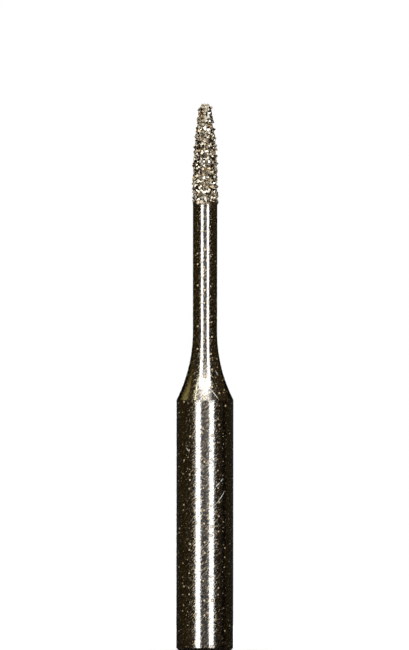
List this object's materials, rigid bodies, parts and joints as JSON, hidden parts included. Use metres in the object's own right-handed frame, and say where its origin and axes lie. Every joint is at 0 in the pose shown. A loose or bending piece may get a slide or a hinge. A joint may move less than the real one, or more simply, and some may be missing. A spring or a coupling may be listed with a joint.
{
  "type": "dental bur",
  "caption": "Slim friction-grip dental bur: plain round shank, concave flare, thin neck and a tapered, round-nosed head covered with diamond grit.",
  "frame": {"origin": "centre of the flat end of the shank, on which the bur stands", "axes": "+Z along the bur's axis, from the end of the shank to the tip of the head"},
  "size_m": [0.0016, 0.0016, 0.0154],
  "materials": {
    "steel": "ground and polished stainless steel",
    "nickel": "matt electroplated nickel",
    "diamond": "crushed diamond crystals, glassy and faceted"
  },
  "bodies": {
    "root": {"steel_blank": "steel", "nickel_bond": "nickel", "diamond_grit": "diamond"}
  },
  "joints": []
}
